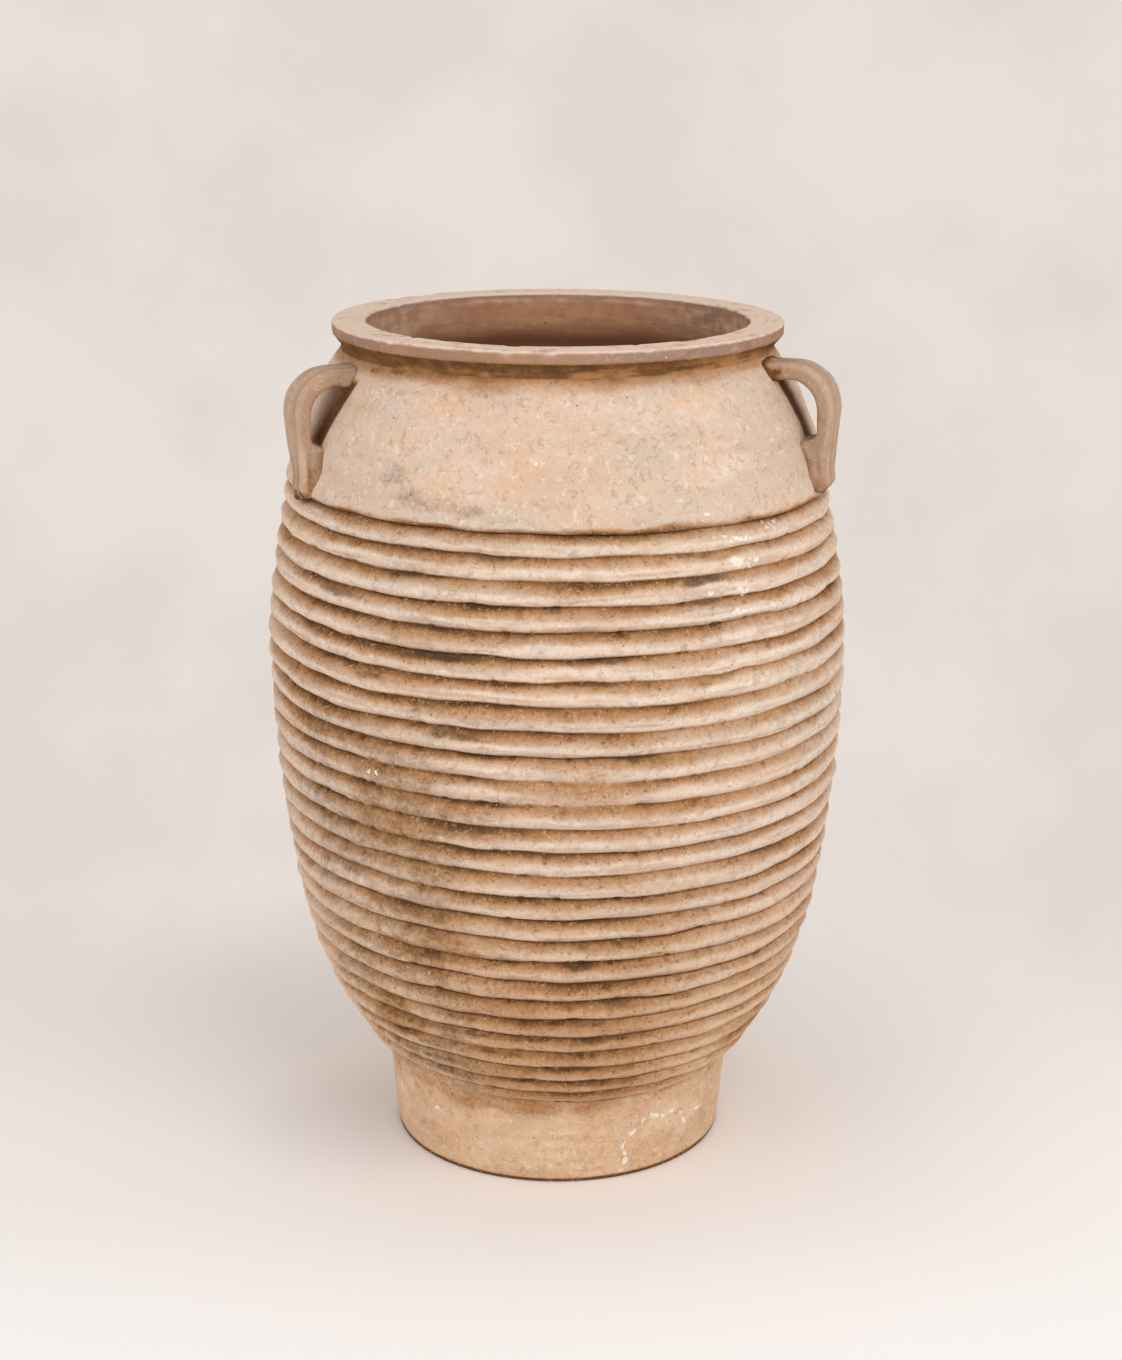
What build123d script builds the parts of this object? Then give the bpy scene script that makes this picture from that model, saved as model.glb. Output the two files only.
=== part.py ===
from build123d import *
from math import cos, radians, sin
import os

# A ribbed clay storage jar, built up from rings of clay that were left to stiffen and luted together.
# Millimetres, +Z up, with the origin where the jar's axis meets the ground.
# The front is -Y. One handle stands to the left (-X), one to the right (+X), both a little to the front.

# Heights, each from the top of the one before: foot, ribbed wall, plain shoulder
foot_height = 87.0
ribbed_height = 563.0
shoulder_rise = 126.0

# Outside radii: foot at the ground, rib crests at the belly, shoulder's lower edge, neck under the lip
foot_radius = 159.5
belly_radius = 274.0
shoulder_radius = 254.0
neck_radius = 200.5

# Curve of the body: where it is widest above the foot, how much of the lower curve is plain round,
# how late the upper curve turns in, and how far the shoulder stands out from a straight cone.
# The shoulder's lower edge is so high and is rounded out so far.
belly_rise = 418.0
belly_roundness = 0.57
shoulder_turn = 1.45
shoulder_bulge = 6.6
shoulder_edge = 6.0
shoulder_edge_bulge = 1.6

# Ribs: rolls of clay between finger grooves, so many on each course from the foot up.
# The tallest is counted down from the shoulder, and they thin away from it.
# The grooves are shallow at the foot and reach their full depth so far above it.
course_ribs = (4, 5, 4, 5, 4, 5)
tallest_rib = 11
rib_thinning = 0.7
rib_depth = 7.0
foot_rib_depth = 3.0
shallow_rise = 75.0
groove_width = 5.0
groove_bite = 1.5

# Foot, floor and walls
foot_flare = 7.3
waist_step = 5.2
foot_cove = 14.0
foot_cove_bow = 0.8
foot_edge_round = 2.0
foot_wall = 35.0
floor_thickness = 32.0
floor_bevel = 10.0
body_wall = 26.0
neck_wall = 23.3

# Seams: each ring has a tapered tongue along its top edge, and the next one sits over it
tongue_width = 8.0
tongue_tip = 6.0
tongue_height = 6.0
lute_gap = 0.3

# Lip: a flat-topped band on the neck, sloped underneath, with worn edges
lip_neck = 3.5
lip_slope = 7.5
lip_face = 13.0
lip_overhang = 8.1
lip_outer_round = 2.0
lip_inner_round = 3.0

# Handles: straps that leave the shoulder level below the lip, bend down and end in a thumbed root.
# They stand out from the middle of the shoulder's slope, and were set on by eye, so the two differ.
# Turns towards the front and the strap's lean are in degrees.
left_handle_turn = 25.0
left_handle_drop = 6.0
left_handle_stand = 35.0
right_handle_turn = 20.0
right_handle_drop = 3.0
right_handle_stand = 39.0
handle_bend = 40.0
strap_lean = 4.0
strap_width = 42.0
strap_height = 16.0
strap_thickness = 14.0
strap_edge_round = 4.0
gap_height = 53.0
gap_bend = 26.0
gap_crotch = 9.0
root_clearance = 1.5
root_width = 30.0
root_round = 8.0
finger_groove_radius = 6.0
finger_groove_depth = 1.6
finger_groove_spacing = 15.0

# Places that follow from the sizes above
shoulder_height = foot_height + ribbed_height
neck_height = shoulder_height + shoulder_rise
lip_face_bottom = neck_height + lip_neck + lip_slope
jar_height = lip_face_bottom + lip_face
belly_height = foot_height + belly_rise
foot_top_radius = foot_radius + foot_flare
waist_radius = foot_top_radius + waist_step
floor_radius = foot_radius - foot_wall
bore_radius = neck_radius - neck_wall
rim_radius = neck_radius + lip_overhang
mid_shoulder_radius = (shoulder_radius + neck_radius) / 2
root_bottom = shoulder_height + shoulder_edge + root_clearance


def body_radius(height):
    """Radius over the rib crests: widest at the belly, drawn in below it to the foot and above it."""
    below = max(0.0, (belly_height - height) / (belly_height - foot_height))
    above = max(0.0, (height - belly_height) / (shoulder_height - belly_height))
    foot_share = belly_roundness * below**2 + (1 - belly_roundness) * below**6
    drawn_in = (belly_radius - waist_radius) * foot_share
    drawn_in += (belly_radius - shoulder_radius) * above**shoulder_turn
    return belly_radius - drawn_in


def inner_radius(height):
    """Inside of the ribbed wall."""
    return body_radius(height) - body_wall


def groove_depth(height):
    """Depth of a groove below the rib crests: shallow at the foot, full from some way above it."""
    share = min(1.0, (height - foot_height) / shallow_rise)
    return foot_rib_depth + (rib_depth - foot_rib_depth) * share


def groove_radius(height):
    """Bottom of a groove."""
    return body_radius(height) - groove_depth(height)


def groove_heights():
    """Heights of the grooves from the foot up: ribs thin with the square of the way from the tallest."""
    rib_count = sum(course_ribs)
    ribs_down = range(1, rib_count + 1)
    shares = [1 - rib_thinning * ((rib - tallest_rib) / rib_count) ** 2 for rib in ribs_down]
    heights = [shoulder_height]
    for share in shares:
        heights.append(heights[-1] - ribbed_height * share / sum(shares))
    return heights[::-1]


def groove_edge(height, side):
    """Where a groove meets the rib above it (side +1) or below it (side -1)."""
    edge_height = height + side * groove_width / 2
    return (body_radius(edge_height) - groove_depth(height) + groove_bite, edge_height)


def seam(outer, inner, height, clearance=0.0):
    """A ring's edge with a tapered tongue along its middle or, given a clearance, the channel over one."""
    middle = (outer + inner) / 2
    foot = tongue_width / 2 + clearance
    tip = tongue_tip / 2 + clearance
    crown = height + tongue_height + clearance
    return Polyline(
        (outer, height),
        (middle + foot, height),
        (middle + tip, crown),
        (middle - tip, crown),
        (middle - foot, height),
        (inner, height),
    )


def ring(*lines):
    """A closed outline of radius and height, turned once round the jar's axis."""
    edges = [edge for line in lines for edge in line.edges()]
    return revolve(Plane.XZ * make_face(edges), Axis.Z)


def bowed_line(start, end, bulge):
    """An arc upwards from one place to another, standing out from the straight line between them."""
    outward = Vector(end.Y - start.Y, start.X - end.X).normalized()
    return ThreePointArc(start, (start + end) / 2 + outward * bulge, end)


def floor_disc():
    """Flat bottom of the jar: a thick disc with a bevelled edge that the foot closes round."""
    low_edge = (floor_radius - floor_bevel, 0)
    top_edge = (floor_radius, floor_thickness)
    return ring(Polyline((0, 0), low_edge, top_edge, (0, floor_thickness), close=True))


def foot_ring():
    """Plain foot: a thick drum, a little wider at its top, that curves out there to the lowest rib.
    Inside it has a bevelled seat for the floor."""
    seat = floor_radius + lute_gap
    cove_low = Vector(foot_top_radius, foot_height - foot_cove)
    cove_high = Vector(groove_radius(foot_height), foot_height)
    return ring(
        Line((seat - floor_bevel, 0), (foot_radius - foot_edge_round, 0)),
        CenterArc((foot_radius - foot_edge_round, foot_edge_round), foot_edge_round, -90, 90),
        Line((foot_radius, foot_edge_round), cove_low),
        bowed_line(cove_low, cove_high, -foot_cove_bow),
        seam(cove_high.X, inner_radius(foot_height), foot_height),
        Line((inner_radius(foot_height), foot_height), (seat, floor_thickness)),
        Line((seat, floor_thickness), (seat - floor_bevel, 0)),
    )


def rib_outline(heights):
    """Outside of a ribbed course from its lowest to its highest groove: a round crest between each two."""
    low_seam, high_seam = heights[0], heights[-1]
    lines = [Line((groove_radius(low_seam), low_seam), groove_edge(low_seam, 1))]
    for low, high in zip(heights, heights[1:]):
        crest_height = (low + high) / 2
        crest = (body_radius(crest_height), crest_height)
        lines.append(ThreePointArc(groove_edge(low, 1), crest, groove_edge(high, -1)))
    for height in heights[1:-1]:
        bottom = (groove_radius(height), height)
        lines.append(ThreePointArc(groove_edge(height, -1), bottom, groove_edge(height, 1)))
    lines.append(Line(groove_edge(high_seam, -1), (groove_radius(high_seam), high_seam)))
    return lines


def wall_course(heights):
    """One ribbed ring of wall: it sits over the tongue below it and carries the next ring on its own."""
    low, high = heights[0], heights[-1]
    inside = [(inner_radius(height), height) for height in (low, (low + high) / 2, high)]
    return ring(
        *rib_outline(heights),
        seam(groove_radius(high), inner_radius(high), high),
        ThreePointArc(*inside),
        seam(groove_radius(low), inner_radius(low), low, lute_gap),
    )


def shoulder_outside():
    """Outside of the plain shoulder, from its lower edge to the neck."""
    low_edge = Vector(shoulder_radius, shoulder_height + shoulder_edge)
    return bowed_line(low_edge, Vector(neck_radius, neck_height), shoulder_bulge)


def shoulder_course():
    """Plain shoulder between the top groove and the neck."""
    low_outer = groove_radius(shoulder_height)
    low_inner = inner_radius(shoulder_height)
    low_edge = Vector(shoulder_radius, shoulder_height + shoulder_edge)
    return ring(
        bowed_line(Vector(low_outer, shoulder_height), low_edge, shoulder_edge_bulge),
        shoulder_outside(),
        seam(neck_radius, bore_radius, neck_height),
        bowed_line(Vector(low_inner, shoulder_height), Vector(bore_radius, neck_height), shoulder_bulge),
        seam(low_outer, low_inner, shoulder_height, lute_gap),
    )


def rim_lip():
    """Flat-topped lip, laid on the neck as a thick band that stands out over it."""
    outer_turn = (rim_radius - lip_outer_round, jar_height - lip_outer_round)
    inner_turn = (bore_radius + lip_inner_round, jar_height - lip_inner_round)
    return ring(
        Polyline(
            (neck_radius, neck_height),
            (neck_radius, neck_height + lip_neck),
            (rim_radius, lip_face_bottom),
            (rim_radius, outer_turn[1]),
        ),
        CenterArc(outer_turn, lip_outer_round, 0, 90),
        Line((outer_turn[0], jar_height), (inner_turn[0], jar_height)),
        CenterArc(inner_turn, lip_inner_round, 90, 90),
        Line((bore_radius, inner_turn[1]), (bore_radius, neck_height)),
        seam(neck_radius, bore_radius, neck_height, lute_gap),
    )


def shoulder_core():
    """The shoulder with its inside filled: what the handles' roots are cut to fit."""
    low = shoulder_height + shoulder_edge
    return ring(
        shoulder_outside(),
        Polyline((neck_radius, neck_height), (0, neck_height), (0, low), (shoulder_radius, low)),
    )


def strap_line(reach, top, offset=0.0):
    """Outer face of a handle, or a line outside it: level from the neck, round the bend, then leaning in."""
    bend_centre = Vector(reach - handle_bend, top - handle_bend)
    bend = handle_bend + offset
    lean = radians(strap_lean)
    bend_end = bend_centre + Vector(cos(lean), -sin(lean)) * bend
    length = (bend_end.Y - root_bottom - root_round * (1 - sin(lean))) / cos(lean)
    return [
        Line((bore_radius, top + offset), (bend_centre.X, top + offset)),
        CenterArc(bend_centre, bend, -strap_lean, 90 + strap_lean),
        Line(bend_end, bend_end - Vector(sin(lean), cos(lean)) * length),
    ]


def handle_side(reach, top):
    """Side view of a handle: strap, finger gap and root, all run on into the shoulder."""
    lean = radians(strap_lean)
    outside = strap_line(reach, top)
    root_centre = outside[-1].end_point() - Vector(cos(lean), -sin(lean)) * root_round
    gap_top = top - strap_height
    gap_bottom = gap_top - gap_height
    gap_reach = reach - strap_thickness
    gap_side = gap_reach - gap_crotch
    return make_face(
        outside
        + [
            CenterArc(root_centre, root_round, -90, 90 - strap_lean),
            Line((root_centre.X, root_bottom), (bore_radius, root_bottom)),
            Line((bore_radius, root_bottom), (bore_radius, gap_bottom)),
            Line((bore_radius, gap_bottom), (gap_side, gap_bottom)),
            CenterArc((gap_side, gap_bottom + gap_crotch), gap_crotch, -90, 90),
            Line((gap_reach, gap_bottom + gap_crotch), (gap_reach, gap_top - gap_bend)),
            CenterArc((gap_reach - gap_bend, gap_top - gap_bend), gap_bend, 0, 90),
            Line((gap_reach - gap_bend, gap_top), (bore_radius, gap_top)),
            Line((bore_radius, gap_top), (bore_radius, top)),
        ]
    )


def handle_front(top):
    """Front view of a handle: an even strap down to the bend, narrowing from there to the root."""
    half, tip = strap_width / 2, root_width / 2
    bend_height = top - handle_bend
    right_side = [(tip, root_bottom), (half, bend_height), (half, top)]
    left_side = [(-half, top), (-half, bend_height), (-tip, root_bottom)]
    return make_face(Polyline(*right_side, *left_side, close=True))


def finger_groove(reach, top, side):
    """A groove that a finger drew down the outer face of a handle."""
    line = Wire(strap_line(reach, top, finger_groove_radius - finger_groove_depth))
    path = Plane.XZ.offset(side * finger_groove_spacing / 2) * line
    return sweep((path ^ 0) * Circle(finger_groove_radius), path=path)


def handle(azimuth, stand, drop):
    """One handle: side view crossed with front view, worn, grooved, fitted to the shoulder and turned."""
    reach = mid_shoulder_radius + stand
    top = neck_height - drop
    strap = extrude(Plane.XZ * handle_side(reach, top), strap_width, both=True)
    strap &= extrude(Plane.YZ * handle_front(top), reach + strap_width)
    flanks = strap.faces().filter_by(lambda face: abs(face.normal_at().Y) > cos(radians(45)))
    flank_edges = [edge for flank in flanks for edge in flank.edges()]
    worn = [edge for edge in flank_edges if edge.center().X > bore_radius + strap_edge_round]
    worn = [edge for edge in worn if abs(edge.center().Z - top + handle_bend) > strap_edge_round]
    strap = fillet(worn, strap_edge_round)
    strap -= [finger_groove(reach, top, side) for side in (-1, 1)]
    strap -= shoulder_core()
    return Rot(0, 0, azimuth) * strap


os.makedirs("parts", exist_ok=True)

grooves = groove_heights()
nodes = {"floor_disc": floor_disc(), "foot_ring": foot_ring()}
first = 0
for number, ribs in enumerate(course_ribs, start=1):
    nodes[f"wall_course_{number}"] = wall_course(grooves[first : first + ribs + 1])
    first += ribs
nodes["shoulder_course"] = shoulder_course()
nodes["rim_lip"] = rim_lip()
nodes["left_handle"] = handle(180 + left_handle_turn, left_handle_stand, left_handle_drop)
nodes["right_handle"] = handle(-right_handle_turn, right_handle_stand, right_handle_drop)

for name, shape in nodes.items():
    export_step(shape, f"parts/{name}.step")
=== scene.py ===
import bpy
import numpy as np
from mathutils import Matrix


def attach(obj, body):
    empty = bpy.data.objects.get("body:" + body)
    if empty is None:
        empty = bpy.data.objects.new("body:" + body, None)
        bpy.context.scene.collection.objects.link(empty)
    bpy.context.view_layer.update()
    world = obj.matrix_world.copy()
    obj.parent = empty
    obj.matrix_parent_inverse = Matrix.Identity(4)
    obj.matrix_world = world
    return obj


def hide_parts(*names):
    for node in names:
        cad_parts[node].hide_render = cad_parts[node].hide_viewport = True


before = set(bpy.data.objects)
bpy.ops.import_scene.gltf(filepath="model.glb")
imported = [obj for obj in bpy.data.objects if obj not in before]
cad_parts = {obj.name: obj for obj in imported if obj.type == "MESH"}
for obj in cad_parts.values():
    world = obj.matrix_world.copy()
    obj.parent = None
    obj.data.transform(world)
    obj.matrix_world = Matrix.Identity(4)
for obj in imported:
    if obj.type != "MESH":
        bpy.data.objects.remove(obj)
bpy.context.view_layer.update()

# Floor disc: the jar's flat bottom, a thick pat of coarse buff clay, beaten flat and trimmed to a bevel.
# It was laid first, and the foot ring was luted round its edge. Only its inner face shows, in the mouth.
floor_radius = 0.1245
floor_bevel = 0.010
floor_thickness = 0.032
floor_eye = 0.004
floor_columns = 360
sharp_angle = 55


def ease(low, high, value):
    """Smooth step from 0 at low to 1 at high, 3t^2 - 2t^3 between them. Low may be the larger."""
    t = np.clip((value - low) / (high - low), 0.0, 1.0)
    return t * t * (3 - 2 * t)


def lattice(cell, seed):
    """A repeatable random number from -1 to 1 for each whole-number cell, by mixing its place's bits."""
    mixed = cell[..., 0] * 73856093 ^ cell[..., 1] * 19349663 ^ cell[..., 2] * 83492791
    mixed = (mixed ^ np.uint32(seed * 977 + 1)) * 2246822519
    mixed = (mixed ^ mixed >> 15) * 2654435761
    mixed = (mixed ^ mixed >> 13) * 3266489917
    return (mixed ^ mixed >> 16) / 2.0**31 - 1.0


def clay_noise(points, size, seed, octaves=1):
    """Smooth random values from about -1 to 1: lattice numbers of the given cell size, blended by
    3t^2 - 2t^3 between the eight corners of each cell. Each further octave is half as large and strong."""
    total = 0.0
    for octave in range(octaves):
        place = points * (2.0**octave / np.asarray(size)) + 0.37 * seed
        cell = np.floor(place)
        share = place - cell
        share = share * share * (3 - 2 * share)
        cell = cell.astype(np.int64).astype(np.uint32)
        for corner in np.ndindex(2, 2, 2):
            weight = np.prod(np.where(corner, share, 1 - share), axis=-1)
            total = total + 0.5**octave * weight * lattice(cell + np.array(corner, np.uint32), seed + octave)
    return total


def turned(radius, height, columns):
    """Carries a profile round the jar's axis: x = r sin a, y = -r cos a, z = h, with the front at a = 0."""
    angle = np.linspace(-np.pi, np.pi, columns, endpoint=False)
    radius, height = (np.asarray(side)[:, None] + np.zeros(columns) for side in (radius, height))
    return np.stack([radius * np.sin(angle), -radius * np.cos(angle), height], axis=-1)


def run(*corners, step):
    """A line of points through the given corners of a profile, evenly spaced and about a step apart."""
    corners = np.array(corners, float)
    lengths = np.hypot(*np.diff(corners, axis=0).T)
    counts = np.maximum(1, np.round(lengths / step).astype(int))
    legs = [np.linspace(a, b, n, endpoint=False) for a, b, n in zip(corners, corners[1:], counts)]
    return np.concatenate(legs)


def clay_mesh(name, grid, marks, drawn_together=False):
    """A closed skin over a grid of points, faces outwards. Columns run round and meet. Rows meet as well, as
    round the section of a ring, or else the first and last row are each drawn together on a point. Corners
    past the sharp angle, in degrees, stay sharp."""
    rows, columns = grid.shape[:2]
    index = np.arange(rows * columns).reshape(rows, columns)
    beside = np.roll(index, -1, axis=1)
    points = grid.reshape(-1, 3)
    values = {mark: value.ravel() for mark, value in marks.items()}
    if drawn_together:
        quads = np.stack([index[:-1], beside[:-1], beside[1:], index[1:]], axis=-1).reshape(-1, 4)
        first, last = rows * columns, rows * columns + 1
        low_fan = np.stack([np.full(columns, first), beside[0], index[0]], axis=-1)
        high_fan = np.stack([index[-1], beside[-1], np.full(columns, last)], axis=-1)
        fans = np.concatenate([low_fan, high_fan])
        points = np.concatenate([points, grid[:1].mean(axis=1), grid[-1:].mean(axis=1)])
        values = {m: np.append(v, [marks[m][0].mean(), marks[m][-1].mean()]) for m, v in values.items()}
    else:
        above, above_beside = np.roll(index, -1, axis=0), np.roll(beside, -1, axis=0)
        quads = np.stack([index, beside, above_beside, above], axis=-1).reshape(-1, 4)
        fans = np.zeros((0, 3), int)
    corners = np.concatenate([quads.ravel(), fans.ravel()])
    starts = np.concatenate([np.arange(len(quads)) * 4, quads.size + np.arange(len(fans)) * 3])
    mesh = bpy.data.meshes.new(name)
    mesh.vertices.add(len(points))
    mesh.vertices.foreach_set("co", points.astype(np.float32).ravel())
    mesh.loops.add(len(corners))
    mesh.loops.foreach_set("vertex_index", corners.astype(np.int32))
    mesh.polygons.add(len(starts))
    mesh.polygons.foreach_set("loop_start", starts.astype(np.int32))
    for mark, value in values.items():
        layer = mesh.attributes.new(mark, "FLOAT", "POINT")
        layer.data.foreach_set("value", value.astype(np.float32))
    mesh.update(calc_edges=True)
    mesh.shade_smooth()
    mesh.set_sharp_from_angle(angle=np.radians(sharp_angle))
    piece = bpy.data.objects.new(name, mesh)
    bpy.context.scene.collection.objects.link(piece)
    return piece


class Wire:
    """A socket in a material. Arithmetic on it adds Math nodes, and node() adds any other node."""

    def __init__(self, socket):
        self.socket = socket

    def node(self, kind, settings, inputs, output=0):
        """Adds a node of that kind: its settings first, then a value or a link for each input named."""
        tree = self.socket.id_data
        made = tree.nodes.new("ShaderNode" + kind)
        for name, value in settings.items():
            setattr(made, name, value)
        for name, value in inputs.items():
            if isinstance(value, Wire):
                tree.links.new(value.socket, made.inputs[name])
            else:
                made.inputs[name].default_value = value
        return Wire(made.outputs[output])

    def math(self, operation, first, second):
        """Adds a Math node that works on two values."""
        return self.node("Math", {"operation": operation}, {0: first, 1: second})

    def __add__(self, other):
        return self.math("ADD", self, other)

    def __sub__(self, other):
        return self.math("SUBTRACT", self, other)

    def __rsub__(self, other):
        return self.math("SUBTRACT", other, self)

    def __mul__(self, other):
        return self.math("MULTIPLY", self, other)

    __radd__ = __add__
    __rmul__ = __mul__


def tone(red, green, blue):
    """A colour given as it looks on a screen, 0 to 255, as the linear colour that a shader takes."""
    screen = np.array([red, green, blue]) / 255
    linear = np.where(screen < 0.04045, screen / 12.92, ((screen + 0.055) / 1.055) ** 2.4)
    return (*linear.tolist(), 1.0)


def blend(share, under, over):
    """One colour over another, by a share from 0 to 1."""
    return share.node("Mix", {"data_type": "RGBA"}, {0: share, 6: under, 7: over}, 2)


def fade(value, low, high):
    """Smooth step of a shader value, from 0 at low to 1 at high. Low may be the larger."""
    limits = {"Value": value, "From Min": low, "From Max": high}
    return value.node("MapRange", {"interpolation_type": "SMOOTHSTEP"}, limits)


def clay_finish(name, buff, blush, ash, pale, mottling):
    """Matt weathered clay. Buff is clouded with blush, ash and orange, streaked where fingers drew along it,
    and worn pale on the crests, paler still as painted highlight where the crest mark is raised for the
    light.
    Brown soil fades in towards the hollows, and the same browns also paint shade and shadow, with dark
    stains, more painted shadow and cream crust where the marks on the piece put them. Inside it turns taupe,
    darker as painted shade where the inside mark passes 1. Over it lie fibre marks, pits, lime specks and
    grain, also in relief. Mottling is how strongly the orange clouds and the fibre marks show."""
    material = bpy.data.materials.new(name)
    material.use_nodes = True
    shader = material.node_tree.nodes["Principled BSDF"]
    place = Wire(material.node_tree.nodes.new("ShaderNodeTexCoord").outputs["Object"])

    def mark(attribute):
        """What the piece's mark of that name says at each point."""
        return place.node("Attribute", {"attribute_name": attribute}, {}, "Fac")

    def shifted(stretch, shift):
        """The place on the piece, stretched on each axis and then moved along all three."""
        stretched = place.node("VectorMath", {"operation": "MULTIPLY"}, {0: place, 1: stretch})
        return stretched.node("VectorMath", {"operation": "ADD"}, {0: stretched, 1: (shift, shift, shift)})

    def grain(size, detail, shift, stretch=(1, 1, 1), bend=0.0):
        """Noise from 0 to 1 of the given size, with finer octaves as its detail, and bent by itself."""
        inputs = {"Vector": shifted(stretch, shift), "Scale": 1 / size}
        return place.node("TexNoise", {}, {**inputs, "Detail": detail, "Distortion": bend})

    def dots(size, shift, reach, kept):
        """Round dots in some cells of that size: up to reach cells across, in the share of cells kept."""
        cells = {"Vector": shifted((1, 1, 1), shift), "Scale": 1 / size}
        away = place.node("TexVoronoi", {}, cells, "Distance")
        chance = place.node("TexVoronoi", {}, cells, "Color")
        return fade(away, reach, reach * 0.45) * fade(chance, 1 - kept - 0.05, 1 - kept + 0.05)

    def fibres(size, shift):
        """Short curved strokes: thin lines where a bent noise crosses its middle, broken up by another."""
        line = grain(size, 1.0, shift, bend=1.2) - 0.5
        thin = fade(line * line, 0.0026, 0.0004)
        return thin * fade(grain(size * 0.9, 0.0, shift + 3), 0.54, 0.64)

    soil_and_shade, crest, streak, inside = mark("soil_and_shade"), mark("crest"), mark("streak"), mark("inside")
    coarse, fine = grain(0.014, 5.0, 1.0), grain(0.004, 4.0, 2.0)
    long_clouds = (1, 1, 2.5)

    blush_clouds = fade(grain(0.15, 4.0, 4.0, long_clouds), 0.42, 0.60)
    ash_clouds = fade(grain(0.08, 5.0, 5.0, long_clouds), 0.50, 0.68)
    orange_clouds = fade(grain(0.05, 4.0, 6.0, (1, 1, 1.5)), 0.48, 0.74)
    rise = place.node("SeparateXYZ", {}, {"Vector": place}, "Z")
    low_down = fade(rise, 0.36, 0.07)
    # Pale crests: wear, and also painted highlight where the lip's top and the shoulder's glints raise the
    # crest mark.
    worn = crest * fade(streak * 0.3 + coarse, 0.10, 0.80)
    pale_wear_and_highlight = blend(low_down * 0.8, pale, tone(241, 211, 181))
    drawn_lines = fade(streak + fine - 0.5, 0.05, -0.70)

    taupe = blend(fade(coarse + streak * 0.5, 0.30, 0.70), tone(211, 170, 139), tone(175, 136, 110))
    # Past 1 the inside mark is painted shade: the inside turns a darker red-brown deeper in and at the far
    # wall.
    taupe = blend(fade(inside, 1.0, 2.0), taupe, tone(173, 122, 88))

    loose = soil_and_shade + (coarse - 0.5) * 0.45 + (fine - 0.5) * 0.30 + streak * 0.10
    soiled_and_shaded = fade(soil_and_shade, 0.10, 0.50)
    crumbly = soiled_and_shaded * fade(rise, 0.72, 0.66)
    crumbs = fade(grain(0.0030, 2.0, 7.0, bend=0.8), 0.58, 0.66) * crumbly
    clods = fade(grain(0.0036, 2.0, 13.0, bend=0.8), 0.60, 0.68) * crumbly
    stained_and_shaded = fade(mark("stain_and_shade") + (coarse - 0.5) * 0.7 + (fine - 0.5) * 0.4, 0.16, 0.95)
    crust = fade(mark("crust") + (coarse - 0.5) * 1.2 + (fine - 0.5) * 2.0, 0.62, 0.80)

    open_air = (1 - fade(inside, 0.1, 0.9) * 0.85) * (1 - fade(soil_and_shade, 0.50, 0.95) * 0.7)
    dark_fibres, light_fibres = fibres(0.0090, 8.0) * open_air, fibres(0.0105, 15.0) * open_air
    faint_fibres = fibres(0.0080, 21.0) * open_air
    straw = blend(soiled_and_shaded, tone(250, 232, 212), tone(208, 162, 114))
    pits = dots(0.013, 9.0, 0.10, 0.28)
    specks = dots(0.014, 10.0, 0.070, 0.22)

    layers = [
        (ash_clouds * 0.75, ash),
        (orange_clouds * (0.48 * mottling), tone(229, 178, 134)),
        (low_down * 0.75, tone(222, 182, 144)),
        (worn, pale_wear_and_highlight),
        (drawn_lines * 0.20, tone(188, 152, 122)),
        (fade(fine, 0.45, 0.65) * 0.15, tone(176, 138, 106)),
        (inside, taupe),
        # These two browns are soil in the hollows, and also painted shade and painted shadow where the
        # pieces' marks put them.
        (fade(loose, 0.02, 0.80) * 0.88, tone(170, 118, 66)),
        (fade(loose, 0.60, 1.15) * 0.88, tone(86, 56, 27)),
        (crumbs * 0.50, tone(222, 178, 134)),
        (clods * 0.55, tone(100, 68, 43)),
        # Dark brown-grey: real stains, and also painted shadow in the handles' finger gaps and under the lip.
        (stained_and_shaded * 0.8, tone(80, 60, 42)),
        (crust * 0.9, tone(251, 241, 226)),
        (dark_fibres * (0.30 * mottling), tone(150, 110, 80)),
        (light_fibres * (0.36 * mottling), straw),
        (faint_fibres * (0.26 * mottling), straw),
        (pits * 0.7, tone(98, 66, 46)),
        (specks * open_air * 0.8, tone(250, 242, 228)),
    ]
    colour = blend(blush_clouds, buff, blush)
    for share, over in layers:
        colour = blend(share, colour, over)

    lines = grain(0.010, 3.0, 11.0, stretch=(0.35, 0.35, 4.0))
    relief = lines * 0.12 + coarse * 0.45 + fine * 0.36 + crust * 0.35
    relief = relief + light_fibres * 0.45 + faint_fibres * 0.38
    relief = relief - pits * 0.9 - dark_fibres * 0.3 + crumbs * 0.35 - clods * 0.3
    bump = relief.node("Bump", {}, {"Height": relief, "Strength": 0.5, "Distance": 0.0015}, "Normal")

    links = material.node_tree.links
    links.new(colour.socket, shader.inputs["Base Color"])
    links.new((0.98 - crest * 0.10 - fine * 0.1).socket, shader.inputs["Roughness"])
    links.new(bump.socket, shader.inputs["Normal"])
    shader.inputs["Specular IOR Level"].default_value = 0.22
    return material


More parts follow.
